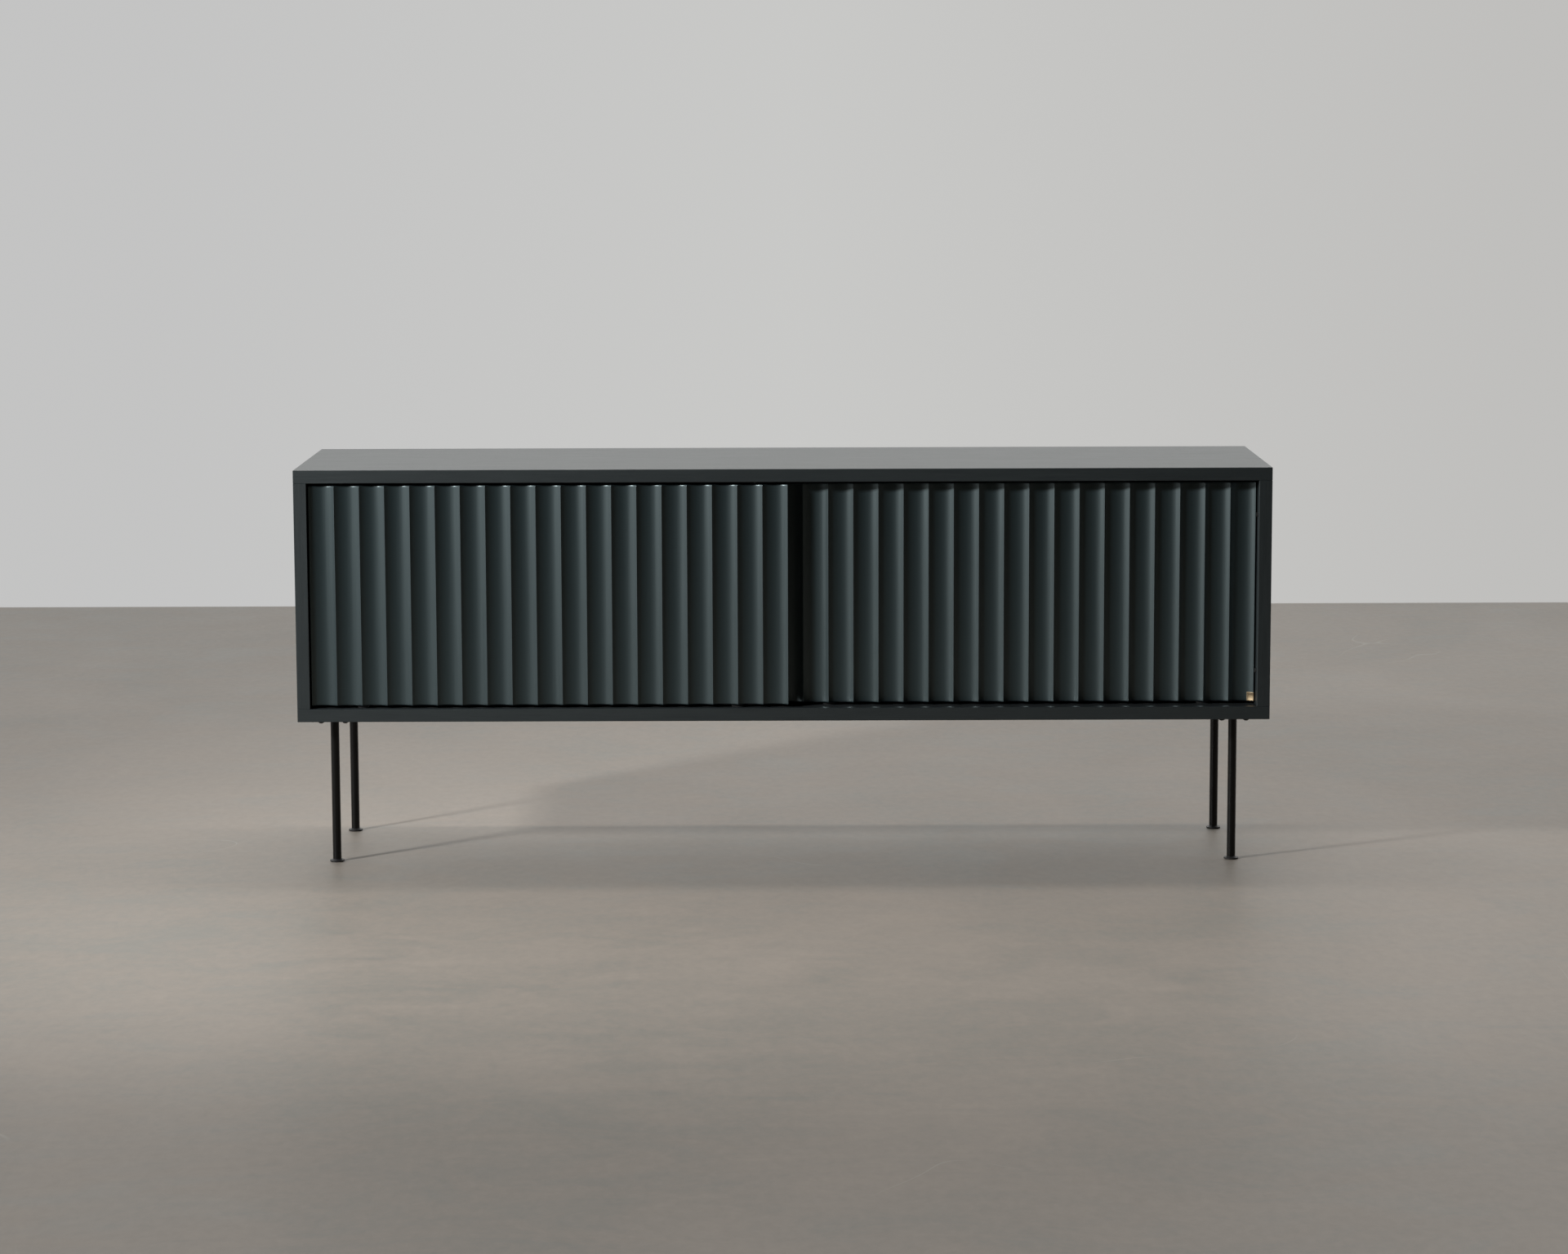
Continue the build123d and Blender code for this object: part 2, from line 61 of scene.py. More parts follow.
# ---- Doors
FLUTES = 19
FLUTE_DEPTH = 9.0 * MM
EDGE_LAND = 1.0 * MM  # plain strip at both ends, rounded off at the corner
CORNER_STEPS = 4
FLUTE_STEPS = 28  # facets across each flute
RIDGE_TRIM = 0.45 * MM  # how much of each flute the rounded ridge takes
RIDGE_ROUND = 0.16 * MM  # how far the rounded ridge lies behind the sharp one
DOOR_EDGE = 2.5 * MM  # rounding of the doors' upper and lower edges
EDGE_STEPS = 6
END_PULL = 6.0 * MM  # how far from the ends the rounding of the edges draws the face inwards
END_SHARE = 0.8  # how far it is drawn in, as a share of the rounding's inset
EDGE_BAND = 2.0 * MM  # narrow row of faces that keeps the rounding's shading off the flutes
HOUSING_BODY = Vector((38, 8, 0)) * MM
HOUSING_FLANGE = 2.0 * MM
CUT_PLAY = 0.05 * MM
CUT_PAST = 1.0 * MM  # how far the cutters stick out of the door
ROUND_SEGMENTS = 48

# ---- Springs under the guide pins
WIRE_RADIUS = 0.35 * MM
WIRE_SIDES = 10
SPRING_TURNS = 8
TURN_STEPS = 28

# ---- Brass tab
TAB_THICKNESS = 0.6 * MM
TAB_RIM = 1.3 * MM
TAB_RIM_HEIGHT = 0.22 * MM
TAB_RIM_EDGE = 0.25 * TAB_RIM  # width over which the rim's outer side rises
TAB_RIM_START = 0.4  # how high it starts, as a share of the rim's height
TAB_RIM_FALL = 0.3 * TAB_RIM  # width over which its inner side drops
TAB_FLUTE_STEPS = 12
TAB_FOLD_STEPS = 6
TAB_SIDE_STEPS = 8

# ---- Legs
LEG_RADIUS = 8.0 * MM
WELD = 2.2 * MM
WELD_OVERLAP = 0.1 * MM  # how far the bead reaches into the tube
WELD_STEPS = 6
WELD_TURN_STEPS = 64
WELD_RIPPLES = 14
WELD_RIPPLE = 0.05  # how much the bead's width varies

# ---- Studio
CAMERA_PLACE = (0.0206, -7.4311, 1.4148)
CAMERA_YAW = math.radians(0.15)
CAMERA_PITCH = math.radians(7.624)
CAMERA_ROLL = math.radians(-0.203)
CAMERA_LENS = 90.43
SENSOR_WIDTH = 36.0
FLOOR_BACK = 3.61
FLOOR_SIDE = 14.0
FLOOR_FRONT = 3.4
KEY_PLACE = (-3.50, -2.60, 2.11)
KEY_AIM = (0.8, 0.3, 0.5)
KEY_CONE = math.radians(60)
KEY_RADIUS = 0.22
KEY_POWER = 870.0
KEY_COLOUR = (1.0, 1.0, 0.99)
OVERHEAD_PLACE = (0.1, 0.56, 3.6)
OVERHEAD_AIM = (0.1, 0.2, 0.0)
OVERHEAD_SIZE = (2.6, 0.3)
OVERHEAD_POWER = 35.0
OVERHEAD_COLOUR = (1.0, 0.90, 0.84)
FILL_PLACE = (-4.2, -0.9, 1.3)
FILL_AIM = (0.0, -0.2, 0.5)
FILL_SIZE = (1.6, 2.4)
FILL_POWER = 12.0
FILL_COLOUR = (1.0, 1.0, 1.0)
# The wall seen by the camera, across X: brighter in the middle and darker to each side, a painted falloff
# of light on an even wall.
WALL_PAINTED_FALLOFF = ((0.10, (0.550, 0.550, 0.548)), (0.50, (0.580, 0.580, 0.570)), (0.95, (0.525, 0.520, 0.508)))
WALL_FALLOFF_REACH = 0.2  # how far to each side the wall's painted falloff of light runs
ROOM_DARK = (0.0, 0.0, 0.0)
# Each part of the room: its colour, then along one or two axes where it starts and where it is full.
ROOM_BACK = ((0.86, 0.86, 0.845), ("Y", -0.10, 0.30))
ROOM_LEFT = ((0.38, 0.38, 0.38), ("X", -0.55, -0.90))
ROOM_HORIZON = ((0.36, 0.355, 0.345), ("Y", 0.30, 0.80), ("Z", 0.50, 0.28))
ROOM_UP = ((0.46, 0.46, 0.46), ("Z", 0.40, 0.95), ("Y", -0.10, 0.25))


# ---- Shaders

class Nodes:
    """A node tree whose nodes are added one call at a time."""

    def __init__(self, tree):
        self.tree = tree

    def add(self, kind, inputs=None, **settings):
        made = self.tree.nodes.new("ShaderNode" + kind)
        for key, value in settings.items():
            setattr(made, key, value)
        for key, value in (inputs or {}).items():
            self.feed(made.inputs[key], value)
        return made

    def feed(self, socket, value):
        if isinstance(value, bpy.types.NodeSocket):
            self.tree.links.new(value, socket)
        else:
            socket.default_value = value

    def place(self, scale):
        """Object coordinates, stretched."""
        coordinates = self.add("TexCoord").outputs["Object"]
        return self.add("Mapping", {"Vector": coordinates, "Scale": scale}).outputs["Vector"]

    def noise(self, scale, detail=4.0, rough=0.55, distort=0.0, size=1.0):
        return self.add("TexNoise", {"Vector": self.place(scale), "Scale": size, "Detail": detail,
                                     "Roughness": rough, "Distortion": distort}).outputs["Fac"]

    def ramp(self, value, stops):
        """A colour ramp through (place, colour) stops."""
        made = self.add("ValToRGB", {"Fac": value})
        elements = made.color_ramp.elements
        while len(elements) < len(stops):
            elements.new(0.5)
        for element, (at, colour) in zip(elements, stops):
            element.position = at
            element.color = (*colour, 1.0)
        return made.outputs["Color"]

    def span(self, value, low, high, to_low, to_high):
        return self.add("MapRange", {"Value": value, "From Min": low, "From Max": high,
                                     "To Min": to_low, "To Max": to_high}).outputs["Result"]

    def math(self, operation, a, b=0.0):
        made = self.add("Math", operation=operation)
        self.feed(made.inputs[0], a)
        self.feed(made.inputs[1], b)
        return made.outputs["Value"]

    def mix(self, share, a, b, blend="MIX"):
        made = self.add("Mix", data_type="RGBA", blend_type=blend)
        self.feed(made.inputs["Factor"], share)
        self.feed(made.inputs["A"], a)
        self.feed(made.inputs["B"], b)
        return made.outputs["Result"]

    def bump(self, height, distance, strength=1.0, under=None):
        made = self.add("Bump", {"Height": height, "Distance": distance, "Strength": strength})
        if under is not None:
            self.feed(made.inputs["Normal"], under)
        return made.outputs["Normal"]


class Shader(Nodes):
    """A material built up from its principled surface."""

    def __init__(self, name, **principled):
        self.material = bpy.data.materials.new(name)
        self.material.use_nodes = True
        super().__init__(self.material.node_tree)
        self.surface = self.tree.nodes["Principled BSDF"]
        for socket, value in principled.items():
            self.surface.inputs[socket.replace("_", " ")].default_value = value

    def finish(self, colour=None, roughness=None, normal=None):
        for socket, value in (("Base Color", colour), ("Roughness", roughness), ("Normal", normal)):
            if value is not None:
                self.feed(self.surface.inputs[socket], value)
        return self.material


def along(axis, lengthwise, crosswise):
    """A stretch that runs with the grain."""
    scale = [crosswise] * 3
    scale[axis] = lengthwise
    return scale


def stained_oak(name, axis, shift=0.0):
    """Dark stained, open-pored oak veneer, its grain along one axis."""
    s = Shader(name, Specular_IOR_Level=0.7, Specular_Tint=(0.90, 0.98, 1.0, 1.0))
    figure = s.noise(along(axis, 1.1, 26.0), 5.0, 0.6, 0.6, 1.0 + shift)
    fibre = s.noise(along(axis, 9.0, 520.0), 4.0, 0.65, 0.1)
    pores = s.noise(along(axis, 26.0, 1500.0), 2.0, 0.5)
    tone = s.math("ADD", s.math("MULTIPLY", figure, 0.45), s.math("MULTIPLY", fibre, 0.55))
    colour = s.ramp(tone, [(0.30, (0.0120, 0.0160, 0.0180)), (0.52, (0.0165, 0.0215, 0.0236)),
                           (0.74, (0.0225, 0.0288, 0.0310))])
    pore = s.span(pores, 0.30, 0.42, 1.0, 0.0)
    colour = s.mix(s.math("MULTIPLY", pore, 0.55), colour, (0.008, 0.010, 0.011, 1.0))
    roughness = s.span(fibre, 0.3, 0.7, 0.41, 0.49)
    grain = s.bump(fibre, 0.00012, 0.5)
    normal = s.bump(s.math("SUBTRACT", 1.0, pore), 0.00010, 0.5, grain)
    return s.finish(colour, roughness, normal)


def door_lacquer():
    """Satin lacquer on milled board: almost even, with the faintest orange peel."""
    s = Shader("door_lacquer", Specular_IOR_Level=1.0, Specular_Tint=(0.80, 0.97, 1.0, 1.0))
    cloud = s.noise((3.0, 3.0, 1.2), 4.0, 0.6)
    brushed = s.noise((420.0, 420.0, 5.0), 3.0, 0.55)
    peel = s.noise((900.0, 900.0, 900.0), 2.0, 0.5)
    colour = s.ramp(cloud, [(0.25, (0.0146, 0.0228, 0.0256)), (0.75, (0.0170, 0.0266, 0.0296))])
    colour = s.mix(s.span(brushed, 0.3, 0.7, 0.0, 0.25), colour, (0.0120, 0.0192, 0.0216, 1.0))
    roughness = s.span(brushed, 0.3, 0.7, 0.31, 0.36)
    return s.finish(colour, roughness, s.bump(peel, 0.00002, 0.6))


def coated_steel():
    """Fine-textured black powder coat."""
    s = Shader("black_powder_coat", Specular_IOR_Level=0.3)
    orange_peel = s.noise((1400.0, 1400.0, 1400.0), 3.0, 0.6)
    cloud = s.noise((18.0, 18.0, 6.0), 3.0, 0.6)
    colour = s.ramp(cloud, [(0.3, (0.0024, 0.0024, 0.0025)), (0.7, (0.0040, 0.0039, 0.0038))])
    roughness = s.span(cloud, 0.3, 0.7, 0.24, 0.32)
    return s.finish(colour, roughness, s.bump(orange_peel, 0.00003, 0.7))


def moulded_plastic(name, dark, light, rough):
    """Moulded plastic with a fine spark-eroded texture."""
    s = Shader(name, Specular_IOR_Level=0.45)
    texture = s.noise((1800.0, 1800.0, 1800.0), 2.0, 0.6)
    cloud = s.noise((30.0, 30.0, 30.0), 3.0, 0.6)
    roughness = s.span(texture, 0.3, 0.7, rough - 0.06, rough + 0.06)
    return s.finish(s.ramp(cloud, [(0.3, dark), (0.7, light)]), roughness, s.bump(texture, 0.00002, 0.6))


def bare_metal(name, dark, light, rough, stretch):
    """Metal with fine drawn or brushed lines along the direction that is stretched least."""
    s = Shader(name, Metallic=1.0)
    lines = s.noise(stretch, 4.0, 0.6)
    cloud = s.noise((60.0, 60.0, 60.0), 3.0, 0.6)
    tone = s.math("ADD", s.math("MULTIPLY", lines, 0.5), s.math("MULTIPLY", cloud, 0.5))
    roughness = s.span(lines, 0.3, 0.7, rough - 0.08, rough + 0.08)
    return s.finish(s.ramp(tone, [(0.3, dark), (0.7, light)]), roughness, s.bump(lines, 0.00001, 0.6))


def bare_beech():
    s = Shader("beech", Specular_IOR_Level=0.35)
    fibre = s.noise((700.0, 700.0, 30.0), 4.0, 0.6)
    flecks = s.noise((300.0, 900.0, 90.0), 2.0, 0.5)
    colour = s.ramp(fibre, [(0.3, (0.42, 0.26, 0.15)), (0.7, (0.60, 0.42, 0.27))])
    colour = s.mix(s.span(flecks, 0.58, 0.66, 0.0, 0.5), colour, (0.33, 0.19, 0.10, 1.0))
    return s.finish(colour, s.span(fibre, 0.3, 0.7, 0.55, 0.70), s.bump(fibre, 0.00005, 0.6))


def studio_floor():
    """Pale smooth floor with the faint clouding of trowelled screed."""
    s = Shader("studio_floor", Specular_IOR_Level=0.35)
    cloud = s.noise((1.4, 0.9, 1.0), 6.0, 0.6, 0.8)
    wipe = s.noise((3.6, 6.2, 1.0), 8.0, 0.72, 1.4)
    mottle = s.noise((55.0, 30.0, 1.0), 4.0, 0.6, 0.2)
    tone = s.math("ADD", s.math("MULTIPLY", cloud, 0.32), s.math("MULTIPLY", wipe, 0.48))
    tone = s.math("ADD", tone, s.math("MULTIPLY", mottle, 0.2))
    colour = s.ramp(tone, [(0.39, (0.193, 0.183, 0.161)), (0.50, (0.239, 0.212, 0.183)),
                           (0.61, (0.276, 0.242, 0.209))])
    line = s.math("ABSOLUTE", s.math("SUBTRACT", s.noise((1.1, 0.7, 1.0), 2.0, 0.5, 0.6), 0.5))
    where = s.noise((2.2, 1.6, 1.0), 2.0, 0.5)
    scratch = s.math("MULTIPLY", s.span(line, 0.0, 0.0012, 1.0, 0.0), s.span(where, 0.60, 0.66, 0.0, 0.4))
    colour = s.mix(scratch, colour, (0.38, 0.36, 0.33, 1.0))
    return s.finish(colour, s.span(wipe, 0.3, 0.7, 0.46, 0.58), s.bump(wipe, 0.0004, 0.3))


# ---- Mesh helpers

def put(name, data):
    """A new object in the scene."""
    made = bpy.data.objects.new(name, data)
    bpy.context.scene.collection.objects.link(made)
    return made


def piece(name, mesh, material, body, slot, *replaced):
    """A finished mesh that rides on a body and stands for CAD nodes."""
    made = put(name, mesh)
    mesh.materials.clear()
    mesh.materials.append(material)
    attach(made, body)
    if replaced:
        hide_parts(*replaced)
    return made


def smooth(mesh, degrees=SHARP_ANGLE):
    """Smooth shading, apart from edges that turn by more than the angle."""
    mesh.polygons.foreach_set("use_smooth", [True] * len(mesh.polygons))
    mesh.set_sharp_from_angle(angle=math.radians(degrees))
    mesh.update()
    return mesh


def mesh_from(name, points, faces, merge=None):
    """A mesh with its faces turned outwards, in which points closer than merge become one."""
    mesh = bpy.data.meshes.new(name)
    mesh.from_pydata(points, [], faces)
    shape = bmesh.new()
    shape.from_mesh(mesh)
    if merge is not None:
        bmesh.ops.remove_doubles(shape, verts=shape.verts, dist=merge)
    bmesh.ops.recalc_face_normals(shape, faces=shape.faces)
    shape.to_mesh(mesh)
    shape.free()
    return mesh


def stack(rings):
    """The points of closed rings of equal length, and the quads between each ring and the next."""
    count = len(rings[0])
    points = [p for ring in rings for p in ring]
    faces = [(k * count + i, k * count + (i + 1) % count, (k + 1) * count + (i + 1) % count,
              (k + 1) * count + i) for k in range(len(rings) - 1) for i in range(count)]
    return points, faces


def strip_ends(rings):
    """Quads that close the first and the last ring, from its front half to its back half."""
    count = len(rings[0])
    return [(start + i, start + i + 1, start + count - 2 - i, start + count - 1 - i)
            for start in (0, count * (len(rings) - 1)) for i in range(count // 2 - 1)]


def cutter(name, build):
    """An object that a boolean cuts with."""
    shape = bmesh.new()
    build(shape)
    mesh = bpy.data.meshes.new(name)
    shape.to_mesh(mesh)
    shape.free()
    return put(name, mesh)


def box_cutter(name, low, high):
    centre, size = (low + high) / 2, high - low
    place = Matrix.Translation(centre) @ Matrix.Diagonal((*size, 1.0))
    return cutter(name, lambda shape: bmesh.ops.create_cube(shape, size=1.0, matrix=place))


def round_cutter(name, centre, radius, height):
    def build(shape):
        bmesh.ops.create_cone(shape, cap_ends=True, segments=ROUND_SEGMENTS, radius1=radius,
                              radius2=radius, depth=height, matrix=Matrix.Translation(centre))
    return cutter(name, build)


def cut(mesh, cutters):
    """The mesh with every cutter taken out of it."""
    host = put("host", mesh)
    for tool in cutters:
        modifier = host.modifiers.new("cut", "BOOLEAN")
        modifier.operation = "DIFFERENCE"
        modifier.solver = "EXACT"
        modifier.object = tool
    evaluated = host.evaluated_get(bpy.context.evaluated_depsgraph_get())
    result = bpy.data.meshes.new_from_object(evaluated)
    for spare in (host, *cutters):
        bpy.data.objects.remove(spare)
    return result


# ---- Doors

def flute_size(low, high):
    """The flutes' pitch and radius, from the door's box."""
    pitch = (high.x - low.x - 2 * EDGE_LAND) / FLUTES
    return pitch, pitch ** 2 / (8 * FLUTE_DEPTH) + FLUTE_DEPTH / 2


def flute_line(low, high):
    """The front face's (x, y) from left to right."""
    ridge_y = low.y
    pitch, radius = flute_size(low, high)
    widest = math.asin((pitch / 2 - RIDGE_TRIM) / radius)
    quarter = [math.pi / 2 * k / CORNER_STEPS for k in range(CORNER_STEPS + 1)]
    corner = [(EDGE_LAND * (1 - math.cos(a)), ridge_y + EDGE_LAND * (1 - math.sin(a))) for a in quarter]
    line = [(low.x + x, y) for x, y in corner]
    for i in range(FLUTES):
        middle = low.x + EDGE_LAND + (i + 0.5) * pitch
        centre_y = ridge_y + FLUTE_DEPTH - radius
        for k in range(FLUTE_STEPS + 1):
            angle = widest * (2 * k / FLUTE_STEPS - 1)
            line.append((middle + radius * math.sin(angle), centre_y + radius * math.cos(angle)))
        if i < FLUTES - 1:
            line.append((middle + pitch / 2, ridge_y + RIDGE_ROUND))
    return line + [(high.x - x, y) for x, y in reversed(corner)]


def edge_rows(low_z, high_z):
    """(z, inset) of each row of points: rounded at both ends, with a narrow band beside each rounding."""
    quarter = [math.pi / 2 * k / EDGE_STEPS for k in range(EDGE_STEPS + 1)]
    lower = [(low_z + DOOR_EDGE * (1 - math.cos(a)), DOOR_EDGE * (1 - math.sin(a))) for a in quarter]
    lower.append((low_z + DOOR_EDGE + EDGE_BAND, 0.0))
    return lower + [(low_z + high_z - z, inset) for z, inset in reversed(lower)]


def drawn_in(x, low_x, high_x, inset):
    """The place of a point of the face where the rounded edge lies further in."""
    at_low = max(0.0, 1.0 - (x - low_x) / END_PULL)
    at_high = max(0.0, 1.0 - (high_x - x) / END_PULL)
    return x + END_SHARE * inset * (at_low - at_high)


def door_mesh(side):
    """Fluted front, flat back, with the mortises for rollers and guides."""
    low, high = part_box(f"{side}_door")
    line = flute_line(low, high)
    rings = []
    for z, inset in edge_rows(low.z, high.z):
        inside = [(drawn_in(x, low.x, high.x, inset), y) for x, y in line]
        front = [(x, y + inset, z) for x, y in inside]
        back = [(x, high.y - inset, z) for x, _ in reversed(inside)]
        rings.append(front + back)
    points, faces = stack(rings)
    faces += strip_ends(rings)
    return smooth(cut(mesh_from(f"{side}_door", points, faces), mortise_cutters(side)))


def mortise_cutters(side):
    """Cutters for the roller housings in the lower edge and the guide housings in the upper one."""
    tools = []
    play = Vector((CUT_PLAY, CUT_PLAY, 0))
    past = Vector((0, 0, CUT_PAST))
    for end in ENDS:
        low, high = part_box(f"{side}_roller_housing_{end}")
        middle = (low + high) / 2
        tools.append(box_cutter("flange", low - play - past,
                                Vector((high.x, high.y, low.z + HOUSING_FLANGE)) + play))
        body_low = Vector((middle.x, middle.y, low.z)) - HOUSING_BODY / 2 - play - past
        body_high = Vector((middle.x, middle.y, high.z + CUT_PLAY)) + HOUSING_BODY / 2 + play
        tools.append(box_cutter("body", body_low, body_high))
        low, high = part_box(f"{side}_guide_housing_{end}")
        tools.append(round_cutter("guide", (low + high + past) / 2,
                                  (high.x - low.x) / 2 + CUT_PLAY, high.z - low.z + CUT_PAST))
    return tools


def doors(material):
    for side in SIDES:
        piece(f"{side}_fluted_door", door_mesh(side), material, f"{side}_door", "door_lacquer",
              f"{side}_door")


# ---- Brass tab

def tab_line():
    """The tab's inner line, each point with its way outwards, then the tab's lower and upper end.

    It follows the door's last flute, folds round the corner and runs back along the door's end.
    """
    low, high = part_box("right_door")
    tab_low, tab_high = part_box("brass_tab")
    pitch, radius = flute_size(low, high)
    centre = Vector((high.x - EDGE_LAND - pitch / 2, low.y + FLUTE_DEPTH - radius))
    first = math.asin((tab_low.x - centre.x) / radius)
    last = math.asin((high.x - EDGE_LAND - centre.x) / radius)
    line = []
    for k in range(TAB_FLUTE_STEPS + 1):
        angle = first + (last - first) * k / TAB_FLUTE_STEPS
        way = Vector((math.sin(angle), math.cos(angle)))
        line.append((centre + radius * way, -way))
    for k in range(TAB_FOLD_STEPS + 1):
        angle = math.pi / 2 * k / TAB_FOLD_STEPS
        way = Vector((math.sin(angle), -math.cos(angle)))
        line.append((Vector((high.x, low.y)), way))
    for k in range(1, TAB_SIDE_STEPS + 1):
        y = low.y + (tab_high.y - low.y) * k / TAB_SIDE_STEPS
        line.append((Vector((high.x, y)), Vector((1.0, 0.0))))
    return line, tab_low.z, tab_high.z


def brass_tab(material):
    """A folded strip with a slightly raised rim."""
    line, low_z, high_z = tab_line()
    lengths = [0.0]
    for (a, way_a), (b, way_b) in zip(line, line[1:]):
        lengths.append(lengths[-1] + ((b + way_b * TAB_THICKNESS) - (a + way_a * TAB_THICKNESS)).length)
    total = lengths[-1]
    marks = [0.0, TAB_RIM_EDGE, TAB_RIM - TAB_RIM_EDGE, TAB_RIM, TAB_RIM + TAB_RIM_FALL]
    tall = high_z - low_z
    heights = marks + [tall / 2] + [tall - m for m in reversed(marks)]
    rows = []
    for height in heights:
        row = []
        for (point, way), length in zip(line, lengths):
            margin = min(height, tall - height, length, total - length)
            lift = max(0.0, min(1.0, (TAB_RIM + TAB_RIM_FALL - margin) / TAB_RIM_FALL))
            lift *= min(1.0, TAB_RIM_START + margin / TAB_RIM_EDGE)
            outer = point + way * (TAB_THICKNESS + TAB_RIM_HEIGHT * lift - TAB_RIM_HEIGHT)
            row.append((outer.x, outer.y, low_z + height))
        inner = [(p.x, p.y, low_z + height) for p, _ in reversed(line)]
        rows.append(row + inner)
    points, faces = stack(rows)
    faces += strip_ends(rows)
    mesh = smooth(mesh_from("brass_tab_folded", points, faces), SMALL_SHARP_ANGLE)
    piece("brass_tab_folded", mesh, material, "right_door", "brass", "brass_tab")


# ---- Springs under the guide pins

def coil_mesh(name, low, high):
    """A round wire wound upright between two corners of its box."""
    middle = (low + high) / 2
    radius = (high.x - low.x) / 2 - WIRE_RADIUS
    bottom, climb = low.z + WIRE_RADIUS, high.z - low.z - 2 * WIRE_RADIUS
    sides = [2 * math.pi * k / WIRE_SIDES for k in range(WIRE_SIDES)]
    rings = []
    for k in range(SPRING_TURNS * TURN_STEPS + 1):
        turn = 2 * math.pi * k / TURN_STEPS
        height = bottom + climb * k / (SPRING_TURNS * TURN_STEPS)
        reach = [radius + WIRE_RADIUS * math.cos(a) for a in sides]
        rings.append([(middle.x + out * math.cos(turn), middle.y + out * math.sin(turn),
                       height + WIRE_RADIUS * math.sin(a)) for out, a in zip(reach, sides)])
    points, faces = stack(rings)
    faces += [tuple(range(WIRE_SIDES)), tuple(range(len(points) - WIRE_SIDES, len(points)))]
    return smooth(mesh_from(name, points, faces))


def guide_springs(material):
    """Coils in the places of the guide springs under the pins, riding on their doors."""
    for side in SIDES:
        for end in ENDS:
            name, joint = f"{side}_guide_coil_{end}", f"{side}_guide_{end}_push"
            low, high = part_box(f"{side}_guide_spring_{end}")
            coil = piece(name, coil_mesh(name, low, high), material, f"{side}_door", "zinc_steel",
                         f"{side}_guide_spring_{end}")
            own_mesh(coil)


# ---- Welds where the legs meet their plates

def weld(corner, material):
    """A fillet round the top of the leg, slightly rippled."""
    low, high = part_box(f"leg_tube_{corner}")
    middle = (low + high) / 2
    profile = [(-WELD_OVERLAP, high.z)]
    for k in range(WELD_STEPS + 1):
        angle = math.pi / 2 * k / WELD_STEPS
        profile.append((WELD * (1 - math.sin(angle)), high.z - WELD * (1 - math.cos(angle))))
    profile.append((-WELD_OVERLAP, high.z - WELD))
    rings = []
    for t in range(WELD_TURN_STEPS + 1):
        angle = 2 * math.pi * t / WELD_TURN_STEPS
        ripple = 1 + WELD_RIPPLE * math.sin(WELD_RIPPLES * angle)
        reach = [(LEG_RADIUS + width * ripple, z) for width, z in profile]
        rings.append([(middle.x + math.cos(angle) * out, middle.y + math.sin(angle) * out, z)
                      for out, z in reach])
    points, faces = stack(rings)
    mesh = smooth(mesh_from(f"weld_{corner}", points, faces, merge=0.001 * MM), SMALL_SHARP_ANGLE)
    piece(f"weld_{corner}", mesh, material, "carcass", "black_steel")


# ---- Finishes of the CAD nodes

def dress(chosen):
    """Gives each shown CAD node its material."""
    for name, material in chosen.items():
        node = nodes[name]
        node.data.materials.clear()
        node.data.materials.append(material)


def finishes():
    """Each shown CAD node's material, and the two materials that the meshes made here share."""
    across = stained_oak("stained_oak_long", 0)
    upright = stained_oak("stained_oak_upright", 2, 0.15)
    steel = coated_steel()
    black = moulded_plastic("black_plastic", (0.010, 0.010, 0.011), (0.016, 0.016, 0.017), 0.50)
    nylon = moulded_plastic("nylon", (0.018, 0.018, 0.019), (0.026, 0.026, 0.027), 0.42)
    rubber = moulded_plastic("rubber", (0.012, 0.012, 0.012), (0.020, 0.020, 0.020), 0.78)
    zinc = bare_metal("zinc_steel", (0.50, 0.51, 0.52), (0.66, 0.67, 0.68), 0.34, (900, 900, 60))
    beech = bare_beech()
    chosen = {name: across for name in ("top_board", "bottom_board", "shelf_left", "shelf_right",
                                        "back_panel_left", "back_panel_right")}
    chosen |= {name: upright for name in ("side_panel_left", "side_panel_right", "centre_divider")}
    chosen |= {name: beech for name in ("dowels_upper", "dowels_lower")}
    chosen |= {name: steel for name in ("leg_screws", "back_panel_screws")}
    for corner in CORNERS:
        chosen |= {f"leg_plate_{corner}": steel, f"leg_tube_{corner}": steel, f"foot_{corner}": black}
    for row in ("front", "rear"):
        chosen |= {f"lower_track_{row}": black, f"upper_track_{row}": black}
    for side in SIDES:
        chosen |= {f"bumpers_{side}": rubber, f"shelf_supports_{side}": zinc,
                   f"{side}_roller_axles": zinc, f"{side}_housing_screws": zinc}
        for end in ENDS:
            chosen |= {f"{side}_roller_housing_{end}": black, f"{side}_roller_{end}": nylon,
                       f"{side}_guide_housing_{end}": black, f"{side}_guide_pin_{end}": nylon}
    return chosen, steel, zinc


# ---- Studio

def light(kind, name, place, aim, power, colour, **settings):
    data = bpy.data.lights.new(name, kind)
    data.energy = power
    data.color = colour
    for key, value in settings.items():
        setattr(data, key, value)
    made = put(name, data)
    made.location = place
    made.rotation_euler = (Vector(aim) - Vector(place)).to_track_quat("-Z", "Y").to_euler()


def area_light(name, place, aim, size, power, colour):
    light("AREA", name, place, aim, power, colour, shape="RECTANGLE", size=size[0], size_y=size[1])


def camera():
    data = bpy.data.cameras.new("camera")
    data.lens = CAMERA_LENS
    data.sensor_width = SENSOR_WIDTH
    data.clip_end = 100.0
    made = put("camera", data)
    right = Vector((math.cos(CAMERA_YAW), math.sin(CAMERA_YAW), 0.0))
    ahead = Vector((-math.sin(CAMERA_YAW) * math.cos(CAMERA_PITCH),
                    math.cos(CAMERA_YAW) * math.cos(CAMERA_PITCH), -math.sin(CAMERA_PITCH)))
    up = right.cross(ahead)
    turned_right = right * math.cos(CAMERA_ROLL) + up * math.sin(CAMERA_ROLL)
    turned_up = up * math.cos(CAMERA_ROLL) - right * math.sin(CAMERA_ROLL)
    made.matrix_world = Matrix.Translation(CAMERA_PLACE) @ Matrix(
        (turned_right, turned_up, -ahead)).transposed().to_4x4()
    bpy.context.scene.camera = made


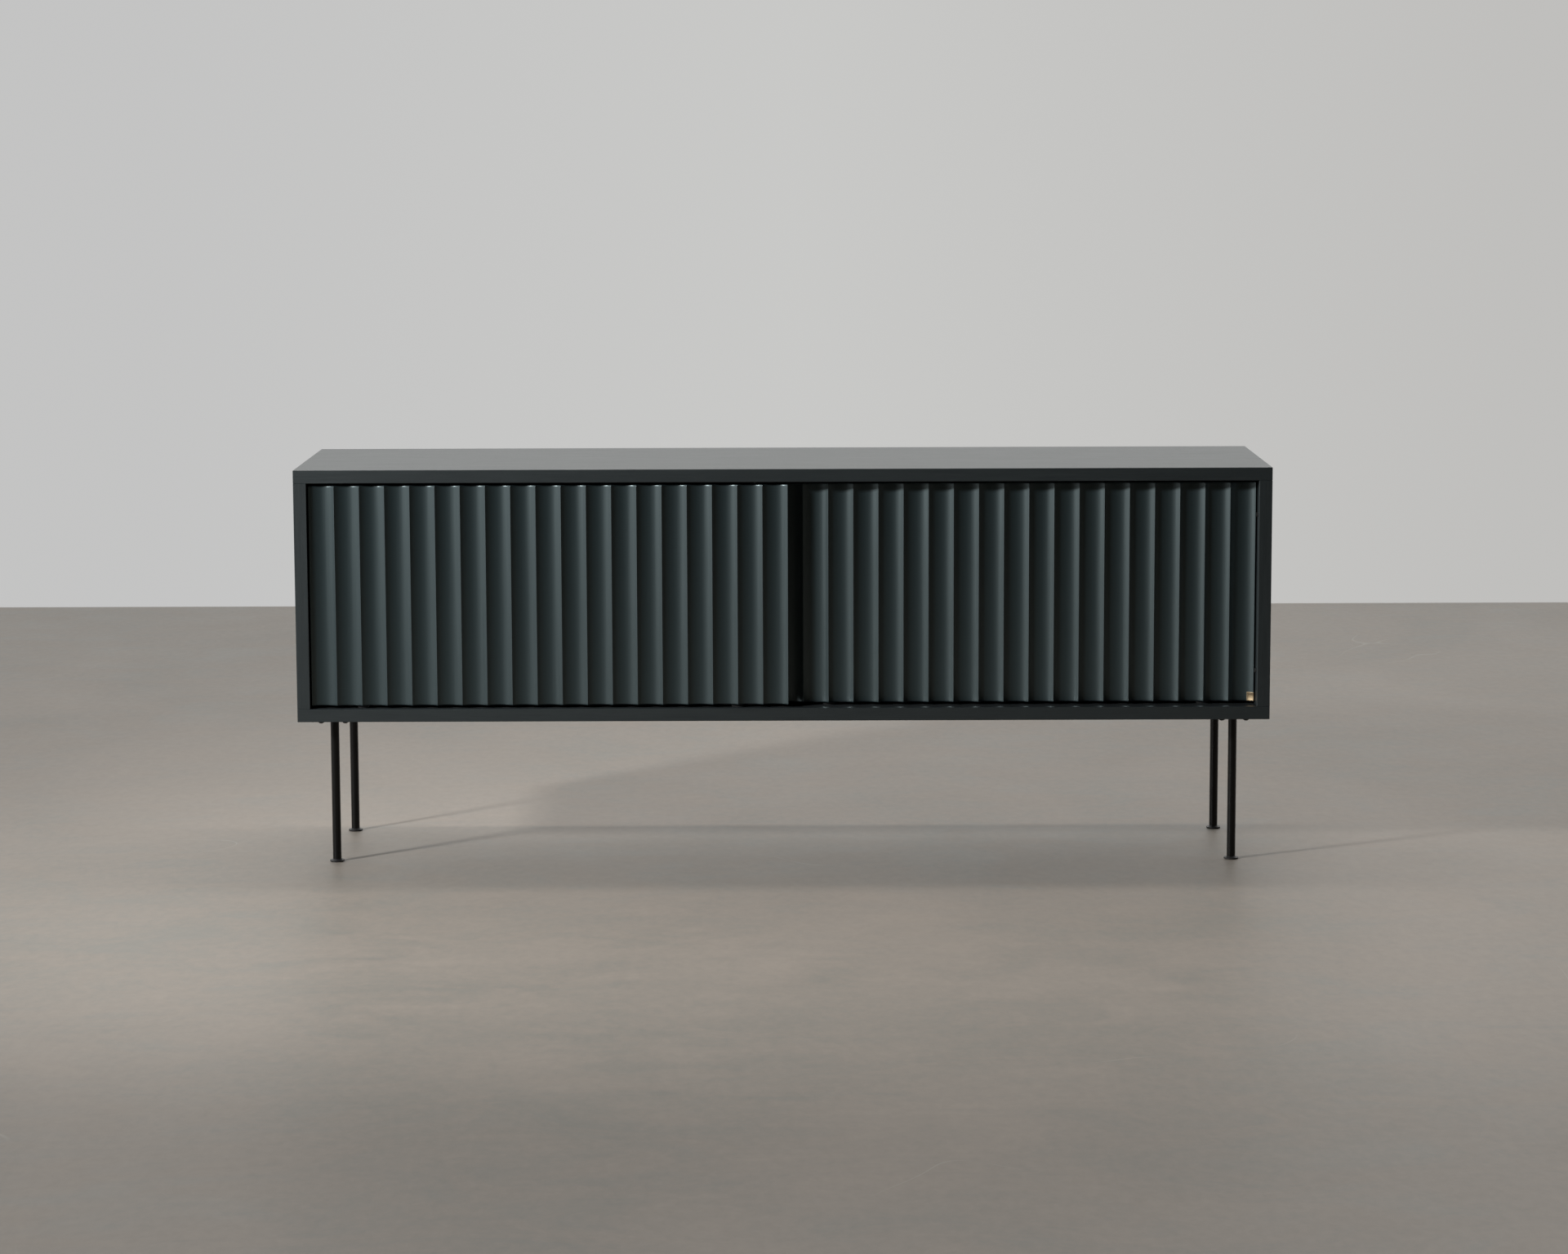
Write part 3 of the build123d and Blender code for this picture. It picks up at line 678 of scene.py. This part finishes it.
def floor(material):
    mesh = bpy.data.meshes.new("floor")
    corners = [(-FLOOR_SIDE, -FLOOR_FRONT, 0), (FLOOR_SIDE, -FLOOR_FRONT, 0),
               (FLOOR_SIDE, FLOOR_BACK, 0), (-FLOOR_SIDE, FLOOR_BACK, 0)]
    mesh.from_pydata(corners, [], [(0, 1, 2, 3)])
    mesh.materials.append(material)
    put("floor", mesh)


def surroundings():
    """A pale wall where the camera looks past the floor, with a painted falloff of light across it, and a
    room that lights and is reflected.

    The room is bright behind the object, above it and on its left.
    """
    world = bpy.data.worlds.new("studio")
    world.use_nodes = True
    bpy.context.scene.world = world
    n = Nodes(world.node_tree)
    direction = n.add("SeparateXYZ", {"Vector": n.add("TexCoord").outputs["Generated"]})
    room = (*ROOM_DARK, 1.0)
    for colour, *limits in (ROOM_BACK, ROOM_HORIZON, ROOM_LEFT, ROOM_UP):
        share = 1.0
        for axis, start, end in limits:
            part = n.add("MapRange", {"Value": direction.outputs[axis], "From Min": start,
                                      "From Max": end}, interpolation_type="SMOOTHSTEP")
            share = n.math("MULTIPLY", part.outputs["Result"], share)
        room = n.mix(share, room, (*colour, 1.0), "ADD")
    seen = n.add("LightPath").outputs["Is Camera Ray"]
    # Camera rays see the wall, its colour brighter in the middle and darker to each side: a painted
    # falloff of light.
    across = n.span(direction.outputs["X"], -WALL_FALLOFF_REACH, WALL_FALLOFF_REACH, 0.0, 1.0)
    colour = n.mix(seen, room, n.ramp(across, WALL_PAINTED_FALLOFF))
    n.feed(world.node_tree.nodes["Background"].inputs["Color"], colour)


def studio():
    camera()
    floor(studio_floor())
    surroundings()
    light("SPOT", "key", KEY_PLACE, KEY_AIM, KEY_POWER, KEY_COLOUR, spot_size=KEY_CONE,
          spot_blend=1.0, shadow_soft_size=KEY_RADIUS)
    area_light("overhead", OVERHEAD_PLACE, OVERHEAD_AIM, OVERHEAD_SIZE, OVERHEAD_POWER, OVERHEAD_COLOUR)
    area_light("fill", FILL_PLACE, FILL_AIM, FILL_SIZE, FILL_POWER, FILL_COLOUR)
    bpy.context.scene.view_settings.view_transform = "Standard"


chosen, steel, zinc = finishes()
dress(chosen)
doors(door_lacquer())
brass_tab(bare_metal("brass", (0.25, 0.19, 0.12), (0.34, 0.265, 0.17), 0.55, (60, 60, 1500)))
guide_springs(zinc)
for corner in CORNERS:
    weld(corner, steel)
studio()
